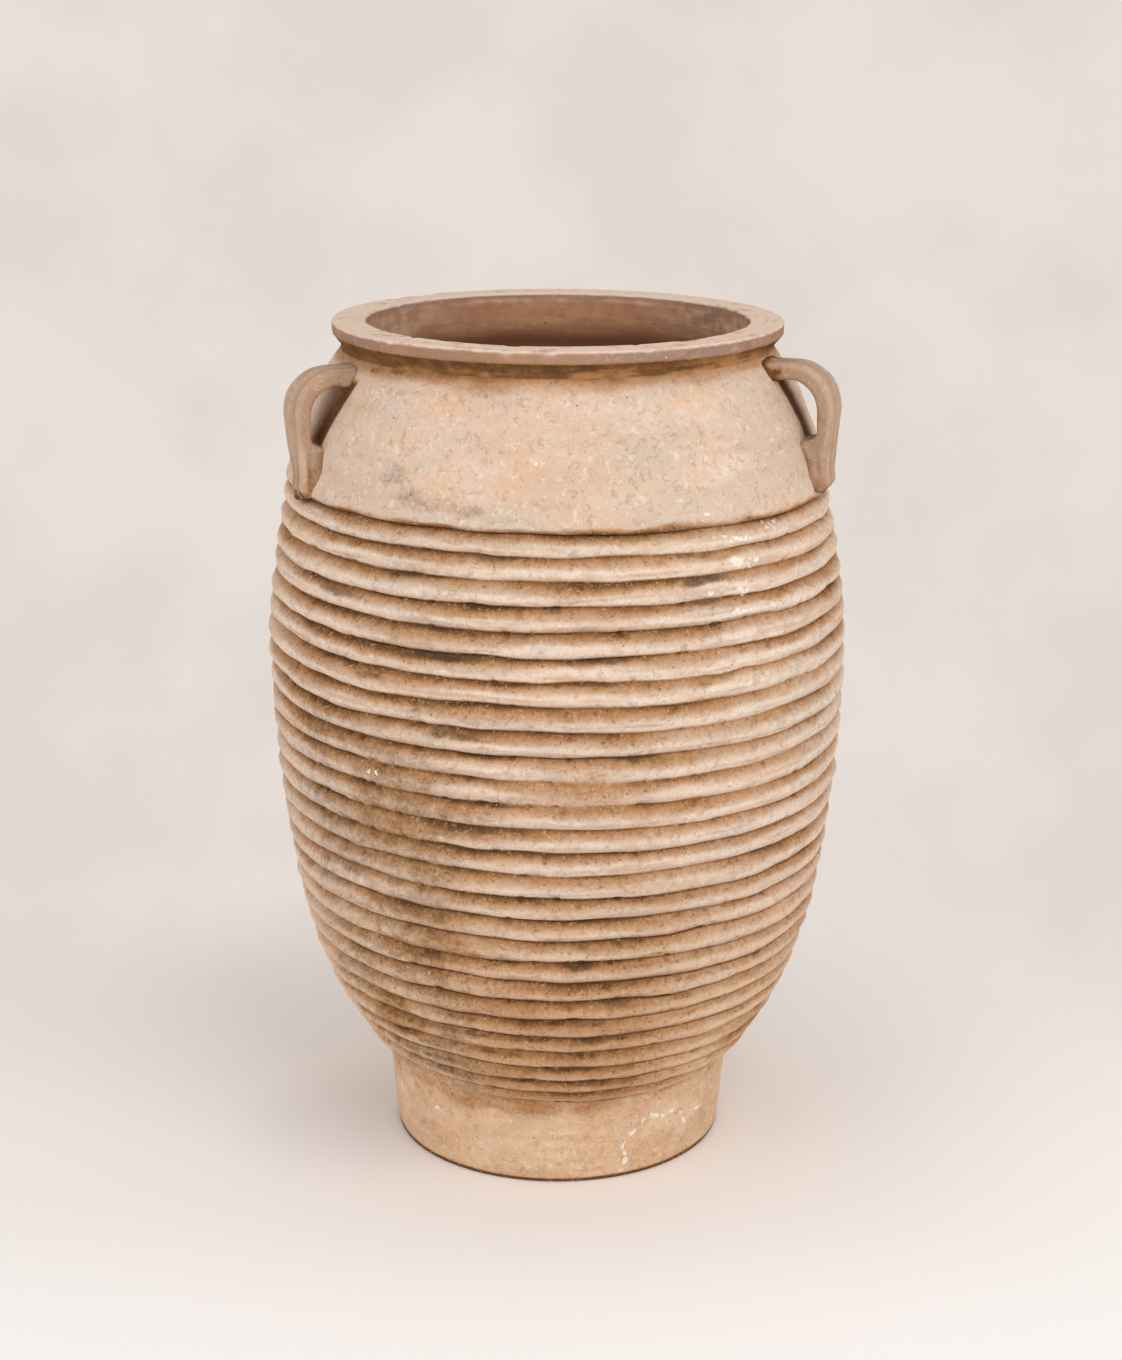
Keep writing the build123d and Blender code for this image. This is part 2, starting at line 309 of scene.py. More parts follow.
body_clay = clay_finish(
    "body_clay",
    buff=tone(213, 188, 166),
    blush=tone(217, 186, 164),
    ash=tone(203, 187, 172),
    pale=tone(238, 219, 201),
    mottling=1.0,
)
floor_low = run((floor_eye, 0), (floor_radius - floor_bevel, 0), step=0.004)
floor_edge = run((floor_radius - floor_bevel, 0), (floor_radius, floor_thickness), step=0.003)
floor_top = run((floor_radius, floor_thickness), (floor_eye, floor_thickness), step=0.003)
floor_middle = [(floor_eye, floor_thickness)]
floor_grid = turned(*np.concatenate([floor_low, floor_edge, floor_top, floor_middle]).T, floor_columns)
floor_inner_face = ease(floor_thickness - 0.001, floor_thickness, floor_grid[..., 2])
floor_grid[..., 2] -= floor_inner_face * 0.0012 * (1 + clay_noise(floor_grid, 0.02, 1, 3))
floor_marks = {
    "soil_and_shade": floor_inner_face * (0.45 + 0.4 * clay_noise(floor_grid, 0.05, 2, 2)),
    "inside": floor_inner_face,
}
floor_disc = clay_mesh("floor_disc_clay", floor_grid, floor_marks, drawn_together=True)
floor_disc.data.materials.append(body_clay)
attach(floor_disc, "root")
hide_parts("floor_disc")

# Foot ring: the plain drum that the jar stands on, of the same buff clay, turned smooth and a little wider
# at its top, where it curves out to the first rib. It is luted round the floor disc, and its upper edge
# carries a tongue for the first wall course. A thin crack in it has filled with white lime.
foot_height = 0.087
foot_radius = 0.1595
foot_top_radius = 0.1668
foot_cove = 0.014
foot_cove_bow = 0.0008
foot_edge_round = 0.002
foot_columns = 960
belly_height = 0.505
belly_radius = 0.274
waist_radius = 0.172
belly_roundness = 0.57
shoulder_height = 0.650
shoulder_radius = 0.254
shoulder_turn = 1.45
body_wall = 0.026
tongue_width = 0.008
tongue_tip = 0.006
tongue_height = 0.006
lute_gap = 0.0003
rib_counts = (4, 5, 4, 5, 4, 5)
tallest_rib = 11
rib_thinning = 0.7
rib_depth = 0.007
foot_rib_depth = 0.003
shallow_rise = 0.075
rib_lift = 0.0010
rib_slant = 0.0125


def body_radius(height):
    """Radius over the rib crests: from the belly it draws in downwards by a share of the way to the foot
    squared, plus the rest to the sixth power, and upwards by a power of the way to the shoulder."""
    below = np.maximum(0.0, (belly_height - height) / (belly_height - foot_height))
    above = np.maximum(0.0, (height - belly_height) / (shoulder_height - belly_height))
    foot_share = belly_roundness * below**2 + (1 - belly_roundness) * below**6
    drawn_in = (belly_radius - waist_radius) * foot_share
    return belly_radius - drawn_in - (belly_radius - shoulder_radius) * above**shoulder_turn


def tongue(outer, inner, height, clearance=0.0):
    """The top edge of a ring from outside to inside: flat, with a tapered tongue along its middle."""
    middle, crown = (outer + inner) / 2, height + tongue_height + clearance
    foot, tip = tongue_width / 2 + clearance, tongue_tip / 2 + clearance
    corners = [(outer, height), (middle + foot, height), (middle + tip, crown), (middle - tip, crown)]
    return np.array([*corners, (middle - foot, height), (inner, height)])


def bowed(start, end, bulge, step):
    """A line of points from start to end that stands out from the straight by bulge times 4t(1 - t)."""
    start, end = np.array(start), np.array(end)
    count = int(round(np.hypot(*(end - start)) / step))
    t = np.linspace(0, 1, count, endpoint=False)[:, None]
    outward = np.array([end[1] - start[1], start[0] - end[0]]) / np.hypot(*(end - start))
    return start + (end - start) * t + outward * bulge * 4 * t * (1 - t)


def outwards(grid):
    """The level direction away from the jar's axis at each point."""
    return grid * (1, 1, 0) / np.linalg.norm(grid[..., :2], axis=-1, keepdims=True)


def azimuth_of(grid):
    """Angle round the jar in degrees: 0 in front, growing to the right as seen from there."""
    return np.degrees(np.arctan2(grid[..., 0], -grid[..., 1]))


def drawn_noise(grid, along, rise, seed):
    """Noise drawn out round the jar, as by fingers on a turning wall: cells 60 mm long at a quarter of a
    metre from the axis, and a rise tall along the profile."""
    place = outwards(grid) * 0.25
    place[..., 2] = along
    return clay_noise(place, (0.06, 0.06, rise), seed, 2)


def patches(grid, places, seed):
    """Marks at given places, each an azimuth in degrees, a height, a half width in degrees, a half height
    and a strength: full near its middle, gone at 1.3 times its half sizes, with a ragged edge from noise."""
    azimuth = azimuth_of(grid)
    ragged = 0.40 * clay_noise(grid, (0.020, 0.020, 0.009), seed, 3)
    total = np.zeros(grid.shape[:2])
    for turn, height, half_width, half_height, strength in places:
        across = ((azimuth - turn + 180) % 360 - 180) / half_width
        up = (grid[..., 2] - height) / half_height
        total = np.maximum(total, strength * ease(1.3, 0.3, np.hypot(across, up) + ragged))
    return total


def rib_wander(grid):
    """How far the ribs stray from level: a slant up to the left, as the hand crept along, a rise at the
    lower left, and waves round the jar, less over short stretches than over long ones."""
    slant = rib_lift - rib_slant * grid[..., 0]
    rise = 0.0025 * np.exp(-(((grid[..., 0] + 0.19) / 0.09) ** 2) - ((grid[..., 2] - 0.34) / 0.07) ** 2)
    long_wave = 0.0015 * clay_noise(grid, (0.16, 0.16, 0.03), 17, 2)
    return slant + rise + long_wave + 0.0012 * clay_noise(grid, (0.04, 0.04, 0.012), 18, 2)


def vein(grid, path, width, seed):
    """A crooked line on the foot through places given by azimuth in degrees and height: full on the line,
    gone at twice the width from it. Noise bends it and breaks it up."""
    spot = np.stack([np.radians(azimuth_of(grid)) * foot_radius, grid[..., 2]], axis=-1)
    sway = [clay_noise(grid, 0.022, seed, 3), clay_noise(grid, 0.022, seed + 3, 3)]
    spot += 0.004 * np.stack(sway, axis=-1)
    path = np.array(path) * (np.radians(foot_radius), 1.0)
    nearest = np.ones(grid.shape[:2])
    for start, end in zip(path, path[1:]):
        leg = end - start
        share = np.clip((spot - start) @ leg / (leg @ leg), 0, 1)
        nearest = np.minimum(nearest, np.linalg.norm(spot - start - share[..., None] * leg, axis=-1))
    return ease(2 * width, 0, nearest) * ease(-0.70, 0.0, clay_noise(grid, 0.006, seed + 6, 2))


rib_shares = 1 - rib_thinning * ((np.arange(1, sum(rib_counts) + 1) - tallest_rib) / sum(rib_counts)) ** 2
rib_rises = (shoulder_height - foot_height) * rib_shares / rib_shares.sum()
groove_heights = shoulder_height - np.concatenate([[0.0], np.cumsum(rib_rises)])
groove_heights = groove_heights[::-1]
groove_shares = np.minimum(1, (groove_heights - foot_height) / shallow_rise)
groove_depths = foot_rib_depth + (rib_depth - foot_rib_depth) * groove_shares

waist_groove = body_radius(foot_height) - foot_rib_depth
waist_inner = body_radius(foot_height) - body_wall
foot_seat = floor_radius + lute_gap
foot_turn = np.linspace(-np.pi / 2, 0, 6)
foot_round = np.stack([np.cos(foot_turn), 1 + np.sin(foot_turn)], axis=-1) * foot_edge_round
foot_round[:, 0] += foot_radius - foot_edge_round
cove_low = (foot_top_radius, foot_height - foot_cove)
foot_profile = np.concatenate(
    [
        run((foot_seat - floor_bevel, 0), (foot_radius - foot_edge_round, 0), step=0.004),
        foot_round,
        run((foot_radius, foot_edge_round + 0.001), cove_low, step=0.0016),
        bowed(cove_low, (waist_groove, foot_height), -foot_cove_bow, step=0.0016),
        tongue(waist_groove, waist_inner, foot_height),
        run((waist_inner, foot_height - 0.001), (foot_seat, floor_thickness), step=0.004),
        run((foot_seat, floor_thickness), (foot_seat - floor_bevel, 0), step=0.006),
    ]
)
foot_grid = turned(*foot_profile.T, foot_columns)
foot_level = foot_grid[..., 2]
foot_outside = ease(foot_radius - 0.004, foot_radius - 0.001, foot_profile[:, 0])[:, None]
foot_outside = foot_outside * ease(0.0, 0.006, foot_level)
foot_dent = 0.0009 * clay_noise(foot_grid, (0.06, 0.06, 0.03), 5, 3)
foot_dent += 0.0004 * clay_noise(foot_grid, 0.008, 6, 2)
foot_dent *= ease(foot_height, foot_height - 0.006, foot_level)
foot_crack = [(21, 0.002), (22.5, 0.016), (22, 0.032), (27.5, 0.049), (32, 0.059), (42, 0.058)]
foot_branch = [(45, 0.053), (49, 0.040)]
foot_crust_places = [
    (-44, 0.055, 2, 0.004, 0.7),
    (56, 0.046, 5, 0.004, 0.7),
    (46, 0.010, 6, 0.004, 0.5),
    (140, 0.030, 12, 0.006, 0.7),
    (-130, 0.050, 8, 0.005, 0.7),
]
foot_stain_places = [
    (-10, 0.012, 10, 0.008, 0.28),
    (3, 0.030, 9, 0.012, 0.28),
    (-52, 0.040, 6, 0.014, 0.25),
    (100, 0.035, 14, 0.016, 0.45),
    (-150, 0.030, 20, 0.012, 0.45),
]
foot_line = foot_level + 0.012 * clay_noise(foot_grid, (0.04, 0.04, 0.012), 7, 3)
foot_soil = 0.10 + 0.50 * ease(0.066, 0.090, foot_line)
foot_soil += 0.20 * clay_noise(foot_grid, (0.06, 0.06, 0.03), 8, 3)
foot_soil += 0.15 * clay_noise(foot_grid, 0.022, 61, 2)
foot_pale = 0.27 * (1 + 1.8 * clay_noise(foot_grid, (0.034, 0.034, 0.028), 62, 3))
# Painted contact shadow: a dark brown line round the lowest few millimetres of the foot's outside, where it
# meets the floor.
foot_contact_shadow = 1.3 * ease(0.0055, 0.0025, foot_level)
foot_contact_shadow = foot_contact_shadow * (foot_profile[:, 0] > foot_radius - 0.003)[:, None]
foot_crust = np.maximum(vein(foot_grid, foot_crack, 0.0014, 60), vein(foot_grid, foot_branch, 0.0010, 70))
foot_haze = np.maximum(vein(foot_grid, foot_crack, 0.0045, 60), vein(foot_grid, foot_branch, 0.0030, 70))
foot_crust = np.maximum(1.3 * foot_crust, 0.60 * foot_haze)
foot_crust = np.maximum(foot_crust, patches(foot_grid, foot_crust_places, 10))
foot_inner = ease(foot_seat + 0.016, foot_seat + 0.010, foot_profile[:, 0])[:, None]
foot_marks = {
    "soil_and_shade": np.maximum(foot_outside * foot_soil, foot_contact_shadow),
    "crest": foot_outside * np.clip(foot_pale, 0, 1.2) * ease(0.075, 0.050, foot_line),
    "stain_and_shade": foot_outside * patches(foot_grid, foot_stain_places, 9),
    "crust": foot_outside * foot_crust,
    "streak": foot_outside * 0.6 * drawn_noise(foot_grid, foot_level, 0.006, 11),
    "inside": foot_inner * ease(0.028, 0.030, foot_level),
}
foot_lift = rib_wander(foot_grid) * ease(0.050, foot_height, foot_level) * foot_outside
foot_grid += outwards(foot_grid) * (foot_outside * foot_dent)[..., None]
foot_grid[..., 2] += foot_lift
foot_ring = clay_mesh("foot_ring_clay", foot_grid, foot_marks)
foot_ring.data.materials.append(body_clay)
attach(foot_ring, "root")
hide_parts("foot_ring")

# Wall courses: six rings of the same clay, built up one on another and left to stiffen in between.
# Fingers drew the grooves round each while it turned, so the ribs waver, differ in depth, and are nicked
# and worn. Each ring sits over the tongue of the one below, and every seam lies hidden in a groove.
course_columns = 960
rows_per_rib = 16
crest_place = 0.43
worn_places = [
    (-35, 0.372, 14, 0.035, 0.75),
    (-31, 0.420, 10, 0.022, 0.6),
    (3, 0.424, 15, 0.026, 1.0),
    (120, 0.460, 16, 0.040, 0.6),
    (-140, 0.330, 18, 0.030, 0.6),
]
drag_places = [
    (-40, 0.505, 22, 0.022, 1.0),
    (-29, 0.343, 9, 0.012, 1.0),
    (150, 0.560, 25, 0.020, 1.0),
    (-110, 0.250, 20, 0.016, 1.0),
]
bright_places = [
    (0, 0.368, 7, 0.009, 0.8),
    (40, 0.560, 14, 0.060, 0.5),
    (8, 0.610, 16, 0.016, 0.5),
    (-165, 0.480, 20, 0.030, 0.5),
]
brown_places = [
    (-41, 0.188, 9, 0.012, 0.45),
    (-40, 0.164, 10, 0.012, 0.45),
    (-26, 0.260, 16, 0.016, 0.35),
    (-30, 0.300, 14, 0.014, 0.30),
    (60, 0.140, 16, 0.016, 0.35),
    (-34, 0.400, 16, 0.050, 0.14),
]
wall_stain_places = [
    (-24, 0.571, 9, 0.007, 0.9),
    (-21, 0.541, 10, 0.007, 0.9),
    (-18, 0.530, 6, 0.005, 0.8),
    (-31, 0.612, 9, 0.006, 0.7),
    (-23, 0.594, 6, 0.006, 0.7),
    (-32, 0.552, 5, 0.005, 0.7),
    (-47, 0.584, 6, 0.010, 0.6),
    (-12, 0.629, 8, 0.005, 0.6),
    (-12, 0.590, 5, 0.005, 0.6),
    (29, 0.630, 7, 0.005, 0.7),
    (29, 0.606, 8, 0.006, 0.8),
    (29, 0.588, 6, 0.005, 0.7),
    (8, 0.546, 9, 0.006, 0.8),
    (6, 0.524, 8, 0.005, 0.8),
    (9, 0.504, 7, 0.005, 0.7),
    (-44, 0.530, 7, 0.006, 0.6),
    (-36, 0.516, 6, 0.005, 0.6),
    (-29, 0.489, 7, 0.005, 0.6),
    (-16, 0.472, 9, 0.006, 0.7),
    (-14, 0.457, 6, 0.005, 0.8),
    (13, 0.459, 9, 0.006, 0.8),
    (-13, 0.416, 10, 0.007, 0.9),
    (-15, 0.393, 9, 0.008, 0.9),
    (-15, 0.369, 8, 0.006, 0.8),
    (-5, 0.365, 5, 0.004, 0.6),
    (43, 0.326, 7, 0.006, 0.6),
    (10, 0.303, 6, 0.005, 0.7),
    (-1, 0.283, 4, 0.005, 0.9),
    (5, 0.258, 4, 0.006, 0.9),
    (-9, 0.262, 5, 0.006, 0.7),
    (-10, 0.240, 6, 0.006, 0.7),
    (48, 0.240, 8, 0.007, 0.6),
    (-13, 0.222, 6, 0.006, 0.7),
    (12, 0.218, 7, 0.006, 0.6),
    (10, 0.177, 9, 0.008, 0.7),
    (-34, 0.148, 12, 0.008, 0.8),
    (-33, 0.130, 13, 0.009, 0.8),
    (-32, 0.115, 12, 0.007, 0.7),
    (14, 0.120, 16, 0.008, 0.6),
    (150, 0.520, 20, 0.010, 0.8),
    (-120, 0.450, 16, 0.012, 0.8),
    (-165, 0.250, 18, 0.010, 0.8),
    (85, 0.300, 12, 0.010, 0.7),
]
wall_crust_places = [
    (39, 0.639, 5, 0.009, 0.80),
    (39, 0.617, 5, 0.009, 0.80),
    (39, 0.594, 4, 0.007, 0.75),
    (37, 0.574, 5, 0.006, 0.65),
    (29, 0.595, 3, 0.004, 0.70),
    (47, 0.644, 4, 0.005, 0.70),
    (-36, 0.425, 4, 0.006, 0.50),
    (95, 0.600, 8, 0.012, 0.65),
    (-100, 0.350, 8, 0.010, 0.65),
    (170, 0.420, 8, 0.010, 0.65),
]


def facing(azimuth):
    """1 over the front and the sides of the jar, fading to 0 towards its back."""
    return ease(160, 115, np.abs(azimuth))


def course_outside(low, high):
    """Outside of the wall between two grooves, and its marks. Between each two grooves the radius falls
    from the crest, which lies a little low, by the depth of the groove times a power of the way from it.
    Noise that is long round the jar and short up it moves the ribs up and down, deepens and fills the
    grooves and lowers the crests. Soil thins from each groove down the rib below it, to none at its reach.
    The foot of each rib, where it turns under into the groove, is darkened by soil and painted shade."""
    legs = [
        np.linspace(groove_heights[rib], groove_heights[rib + 1], rows_per_rib, endpoint=False)
        for rib in range(low, high)
    ]
    heights = np.concatenate([*legs, groove_heights[high : high + 1]])
    rib = np.clip(np.searchsorted(groove_heights, heights, side="right") - 1, low, high - 1)
    way = (heights - groove_heights[rib]) / (groove_heights[rib + 1] - groove_heights[rib])
    grid = turned(body_radius(heights), heights, course_columns)
    depth = groove_depths[rib] + (groove_depths[rib + 1] - groove_depths[rib]) * way
    way = way[:, None] + np.zeros(course_columns)
    azimuth, height = azimuth_of(grid), grid[..., 2]
    worn = patches(grid, worn_places, 11)
    drag = patches(grid, drag_places, 12)
    streak = drawn_noise(grid, height, 0.0032, 13)
    shallow = np.maximum(0.85 * worn, 0.22 * ease(5, 25, azimuth) * ease(75, 55, azimuth))
    depth = depth[:, None] * (1 + 0.34 * clay_noise(grid, (0.10, 0.10, 0.016), 14, 2)) * (1 - shallow)
    from_crest = np.where(way < crest_place, 1 - way / crest_place, (way - crest_place) / (1 - crest_place))
    crest = ease(0.75, 0.25, from_crest)
    drop = depth * from_crest**2.1
    drop += 0.0008 * clay_noise(grid, (0.11, 0.11, 0.020), 15, 2) * crest
    drop += 0.0010 * worn * clay_noise(grid, 0.012, 16, 3)
    nicks = ease(0.45, 0.85, clay_noise(grid, (0.011, 0.011, 0.006), 19, 2)) * ease(0.15, 0.5, from_crest)
    drop += 0.0017 * nicks + 0.0002 * clay_noise(grid, 0.005, 20, 2)
    drop += 0.0009 * clay_noise(grid, (0.030, 0.030, 0.012), 28, 2) + 0.00006 * streak * (1 + 10 * drag)
    broad = ease(70, 15, np.abs(azimuth + 5))
    upper_left = ease(34, 14, np.abs(azimuth + 32)) * ease(0.46, 0.54, height)
    lower_left = ease(-8, -26, azimuth) * ease(-80, -52, azimuth) * ease(0.55, 0.42, height)
    ahead = facing(azimuth)
    lower_right = ahead * ease(8, 24, azimuth) * ease(0.40, 0.26, height)
    lower_middle = ease(40, 15, np.abs(azimuth)) * ease(0.36, 0.18, height)
    reach = 0.42 + 0.18 * broad + 0.10 * upper_left + 0.04 * lower_left + 0.22 * lower_middle
    reach += 0.26 * clay_noise(grid, (0.10, 0.10, 0.03), 21, 3)
    reach = np.clip(reach + 0.07 * clay_noise(grid, (0.010, 0.010, 0.03), 22, 2), 0.12, 0.95)
    filled = 0.96 + 0.14 * upper_left - 0.27 * ease(5, 40, azimuth) - 0.27 * ease(-46, -75, azimuth)
    lower_sides = 0.24 * ease(8, 30, np.abs(azimuth)) + 0.12 * ahead * ease(-8, -30, azimuth)
    filled -= ease(0.36, 0.24, height) * lower_sides
    filled += 0.14 * ahead * ease(5, 40, azimuth) * ease(0.50, 0.58, height)
    filled += 0.28 * clay_noise(grid, (0.09, 0.09, 0.02), 29, 2)
    under_rib = np.clip(1 - (1 - way) / reach, 0, 1)
    # Soil and painted shade in a narrow band at the foot of each rib, where it turns under into the groove.
    groove_line_soil_and_shade = ease(0.14, 0.0, way)
    soil_and_shade = filled * np.maximum(under_rib, groove_line_soil_and_shade) * (1 - 0.7 * worn) + 0.20 * nicks + 0.36 * worn
    low_soil = 0.17 * ease(0.42, 0.14, height) + 0.40 * lower_middle
    low_soil += 0.30 * lower_right + 0.08 * lower_left
    soil_and_shade += low_soil * (1 - under_rib) * (1 - 0.5 * crest) + patches(grid, brown_places, 23)
    # Towards the lower left the crests are kept less pale and the wall is greyed darker.
    bright = patches(grid, bright_places, 24) - 0.45 * lower_left
    lower_left_darkening = 0.40 * lower_left * (1 + 0.3 * clay_noise(grid, (0.06, 0.06, 0.025), 63, 2))
    stain_and_shade = patches(grid, wall_stain_places, 25) * (0.45 + 0.55 * ease(0.25, 0.75, way))
    marks = {
        "soil_and_shade": np.clip(soil_and_shade, 0, 1.15),
        "crest": ease(0.0, 0.16, way) * ease(0.85, 0.45, way) * (1 - 0.5 * worn) * (0.8 + bright),
        "stain_and_shade": np.maximum(stain_and_shade, lower_left_darkening),
        "crust": patches(grid, wall_crust_places, 26),
        "streak": streak * (1 + drag),
    }
    moved = grid - outwards(grid) * drop[..., None]
    moved[..., 2] += rib_wander(grid)
    return moved, marks


first_rib = 0
for number, rib_count in enumerate(rib_counts, start=1):
    last_rib = first_rib + rib_count
    low_height, high_height = groove_heights[first_rib], groove_heights[last_rib]
    outer_low = body_radius(low_height) - groove_depths[first_rib]
    outer_high = body_radius(high_height) - groove_depths[last_rib]
    inner_low, inner_high = (body_radius(h) - body_wall for h in (low_height, high_height))
    inside_heights = np.linspace(high_height, low_height, 12)[1:-1]
    inside_line = np.stack([body_radius(inside_heights) - body_wall, inside_heights], axis=-1)
    channel = tongue(outer_low, inner_low, low_height, lute_gap)[::-1]
    top_edge = tongue(outer_high, inner_high, high_height)[1:]
    hidden_line = np.concatenate([top_edge, inside_line, channel[:-1]])
    hidden_grid = turned(*hidden_line.T, course_columns)
    coil_marks = 0.0010 * clay_noise(hidden_grid, (0.12, 0.12, 0.012), 27, 2)
    inside_rows = np.zeros(len(hidden_line))
    inside_rows[len(top_edge) : len(top_edge) + len(inside_line)] = 1.0
    hidden_grid += outwards(hidden_grid) * (coil_marks * inside_rows[:, None])[..., None]
    outside_grid, outside_marks = course_outside(first_rib, last_rib)
    course_grid = np.concatenate([outside_grid, hidden_grid])
    plain = np.zeros(hidden_grid.shape[:2])
    course_marks = {m: np.concatenate([v, plain]) for m, v in outside_marks.items()}
    course_marks["inside"] = np.concatenate([np.zeros(outside_grid.shape[:2]), plain + 1])
    course = clay_mesh(f"wall_course_{number}_clay", course_grid, course_marks)
    course.data.materials.append(body_clay)
    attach(course, "root")
    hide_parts(f"wall_course_{number}")
    first_rib = last_rib

# Shoulder course: the plain ring that closes in from the top groove to the neck, of the same clay, wiped
# smooth while wet, so it shows fibre marks and smudges. It sits over the top wall course and bears the lip.
neck_height = 0.776
neck_radius = 0.2005
neck_wall = 0.0233
shoulder_edge = 0.006
shoulder_edge_bulge = 0.0016
shoulder_bulge = 0.0066
shoulder_columns = 800
gap_middle = 0.730


def far_side(azimuth):
    """How much painted shade darkens the wall inside the mouth: most at the back, and none 75 degrees away
    from it.
    """
    return 0.62 * ease(75, 25, 180 - np.abs(azimuth))


shoulder_groove = shoulder_radius - rib_depth
shoulder_inner = shoulder_radius - body_wall
bore_radius = neck_radius - neck_wall
low_edge = (shoulder_radius, shoulder_height + shoulder_edge)
shoulder_outside = np.concatenate(
    [
        bowed((shoulder_groove, shoulder_height), low_edge, shoulder_edge_bulge, step=0.0010),
        bowed(low_edge, (neck_radius, neck_height), shoulder_bulge, step=0.0020),
    ]
)
bore_top, hollow_low = (bore_radius, neck_height), (shoulder_inner, shoulder_height)
shoulder_inside = bowed(bore_top, hollow_low, -shoulder_bulge, step=0.005)
shoulder_channel = tongue(shoulder_groove, shoulder_inner, shoulder_height, lute_gap)[::-1]
shoulder_top = tongue(neck_radius, bore_radius, neck_height)
shoulder_hidden = [shoulder_inside[1:], shoulder_channel[:-1]]
shoulder_line = np.concatenate([shoulder_outside, shoulder_top, *shoulder_hidden])
shoulder_grid = turned(*shoulder_line.T, shoulder_columns)
shoulder_level = shoulder_grid[..., 2]
shoulder_azimuth = azimuth_of(shoulder_grid)
shoulder_rows = np.arange(len(shoulder_grid))[:, None]
shows = shoulder_rows <= len(shoulder_outside)
lies_inside = shoulder_rows >= len(shoulder_outside) + len(shoulder_top) - 1
above_groove = shoulder_level - shoulder_height
smear = 0.0012 * clay_noise(shoulder_grid, (0.09, 0.09, 0.03), 30, 3)
smear += 0.0002 * clay_noise(shoulder_grid, 0.010, 31, 2)
smear *= ease(0.0, 0.012, above_groove) * ease(0.126, 0.120, above_groove) * shows
below_neck = neck_height - shoulder_level
neck_nose = (bore_radius - shoulder_line[:, :1]) * ease(0.034, 0.0, below_neck) * lies_inside
inside_coils = 0.0008 * clay_noise(shoulder_grid, (0.10, 0.10, 0.012), 32, 2)
neck_nose += inside_coils * lies_inside * ease(0, 0.01, below_neck)
# Painted shade inside the shoulder, darker the deeper it lies below the neck.
dim = 0.9 * ease(0.002, 0.026, below_neck + 0.006 * clay_noise(shoulder_grid, (0.05, 0.05, 0.012), 39, 3))
shoulder_lift = rib_wander(shoulder_grid) * ease(0.020, 0.0, above_groove) * shows
lip_shade = shoulder_level + 0.004 * clay_noise(shoulder_grid, (0.05, 0.05, 0.015), 33, 3)
edge_shade = above_groove + 0.003 * clay_noise(shoulder_grid, (0.030, 0.030, 0.008), 34, 3)
# Soil and painted shadow of the lip: brown fading down the shoulder from the neck, weaker towards the left
# and the right of the front.
shoulder_soil_and_shade = 0.22 * ease(0.742, 0.774, lip_shade) + 0.42 * ease(0.762, 0.778, lip_shade)
shoulder_ahead = facing(shoulder_azimuth)
shoulder_soil_and_shade *= 1 - 0.35 * shoulder_ahead * ease(-35, -65, shoulder_azimuth)
shoulder_soil_and_shade += 0.22 * ease(0.762, 0.774, lip_shade)
shoulder_soil_and_shade *= 1 - 0.25 * shoulder_ahead * ease(5, 30, shoulder_azimuth)
# Soil and painted shade in the band just above the top groove, under the shoulder's overhanging edge.
shoulder_soil_and_shade += 0.95 * ease(0.0085, 0.001, edge_shade)
# Painted shadow of each handle on the shoulder in its finger gap: dark brown, crisp on the side towards the
# front and fading towards the back.
gap_level = shoulder_level - gap_middle
gap_painted_shadow = np.zeros(shoulder_grid.shape[:2])
for gap_edge, gap_slant, gap_fade in [(-59.2, 87.0, -10.0), (69.0, -43.0, 9.5)]:
    into_gap = (shoulder_azimuth - gap_edge - gap_slant * gap_level) / gap_fade
    gap_shade = ease(-0.10, 0.04, into_gap) * ease(1.0, 0.15, into_gap)
    gap_shade *= ease(-0.036, -0.024, gap_level) * ease(0.034, 0.026, gap_level)
    shoulder_soil_and_shade = np.maximum(shoulder_soil_and_shade, 1.15 * gap_shade)
    gap_painted_shadow = np.maximum(gap_painted_shadow, 0.5 * gap_shade)
shoulder_stain_places = [
    (-36, 0.692, 7, 0.015, 0.44),
    (-31, 0.676, 9, 0.012, 0.46),
    (-24, 0.671, 8, 0.010, 0.42),
    (-18, 0.667, 6, 0.009, 0.48),
    (-8, 0.664, 5, 0.005, 0.40),
    (-44, 0.773, 4, 0.003, 0.70),
    (-52, 0.771, 3, 0.003, 0.70),
    (-17, 0.763, 8, 0.006, 0.32),
    (16, 0.720, 8, 0.020, 0.22),
    (25, 0.740, 10, 0.012, 0.20),
    (130, 0.700, 20, 0.020, 0.4),
    (-150, 0.680, 18, 0.014, 0.4),
]
shoulder_crust_places = [
    (-3, 0.709, 3, 0.004, 0.60),
    (-7, 0.711, 3, 0.002, 0.60),
    (36, 0.716, 6, 0.020, 0.30),
    (40, 0.690, 5, 0.012, 0.30),
    (32, 0.662, 6, 0.004, 0.42),
    (40, 0.735, 6, 0.008, 0.34),
    (-110, 0.710, 8, 0.012, 0.5),
    (160, 0.720, 8, 0.012, 0.5),
]
# Worn paleness over the shoulder, and on top of it painted highlight in two pale glints on its right.
shoulder_wear_and_highlight = 0.22 * (1 + clay_noise(shoulder_grid, (0.07, 0.07, 0.03), 35, 2))
shoulder_wear_and_highlight += patches(shoulder_grid, [(38, 0.702, 8, 0.020, 0.45), (33, 0.745, 6, 0.010, 0.35)], 64)
shoulder_marks = {
    "soil_and_shade": shows * np.clip(shoulder_soil_and_shade, 0, 1.15),
    "crest": shows * shoulder_wear_and_highlight,
    "stain_and_shade": shows * np.maximum(gap_painted_shadow, patches(shoulder_grid, shoulder_stain_places, 36)),
    "crust": shows * patches(shoulder_grid, shoulder_crust_places, 37),
    "streak": (0.45 + 0.4 * ~shows) * drawn_noise(shoulder_grid, shoulder_level, 0.008, 38),
    "inside": (1.0 + np.maximum(dim, far_side(shoulder_azimuth))) * ~shows,
}
